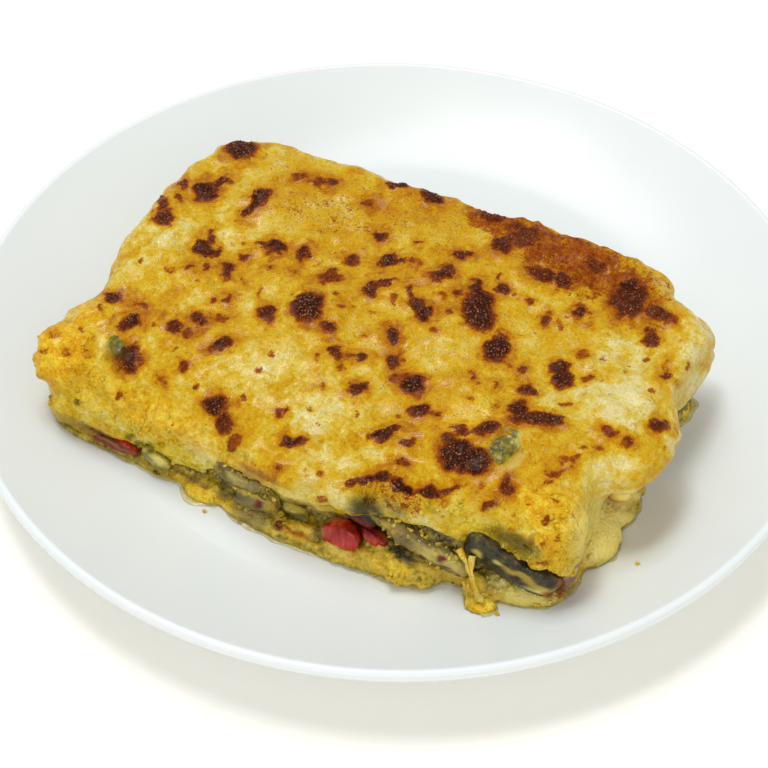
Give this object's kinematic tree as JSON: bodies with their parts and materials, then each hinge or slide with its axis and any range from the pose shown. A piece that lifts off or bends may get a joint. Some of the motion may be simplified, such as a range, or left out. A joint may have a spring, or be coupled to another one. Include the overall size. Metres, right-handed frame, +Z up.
{
  "type": "slice of eggplant bake on a plate",
  "caption": "Rectangular slice of eggplant bake with a browned cheese top and vegetables showing at its cut sides, on a round white coupe plate.",
  "frame": {"origin": "under the middle of the plate, on the surface it stands on", "axes": "+Z up; the slice's long cut side faces -Y and its short cut side faces +X"},
  "size_m": [0.25, 0.25, 0.0405],
  "materials": {
    "plate": "white opal glaze, glossy",
    "custard": "moist baked custard, satin",
    "filling": "moist stewed vegetables, satin",
    "cheese": "melted cheese browned under a grill, oily satin",
    "eggplant_flesh": "soft baked flesh, satin",
    "eggplant_skin": "soft dark skin, moist",
    "red_pepper": "roasted pepper, moist",
    "green_pepper": "roasted pepper, moist",
    "egg_curd": "set egg, satin",
    "mushroom": "soft stewed mushroom, satin"
  },
  "bodies": {
    "root": {"plate": "plate", "custard_base": "custard", "vegetable_filling": "filling", "cheese_top": "cheese", "eggplant_skin_front_right": "eggplant_skin", "eggplant_slice_front_middle": "eggplant_flesh", "eggplant_skin_front_middle": "eggplant_skin", "red_pepper_front_middle": "red_pepper", "red_pepper_strip_front_middle": "red_pepper", "eggplant_slice_front_left": "eggplant_flesh", "eggplant_round_front_left": "eggplant_flesh", "red_pepper_bit_front_left": "red_pepper", "green_pepper_front_left": "green_pepper", "egg_curd_front_left": "egg_curd", "green_pepper_front_far_left": "green_pepper", "red_pepper_strip_front_far_left": "red_pepper", "mushroom_strip_front_right": "mushroom", "eggplant_bit_top_left": "green_pepper", "eggplant_bit_top_right": "eggplant_skin", "eggplant_slice_right": "eggplant_flesh", "red_pepper_right": "red_pepper", "eggplant_skin_back_right": "eggplant_skin", "eggplant_slice_back_left": "eggplant_flesh", "red_pepper_back": "red_pepper", "green_pepper_back": "green_pepper", "eggplant_slice_left": "eggplant_flesh", "red_pepper_left": "red_pepper"}
  },
  "joints": []
}
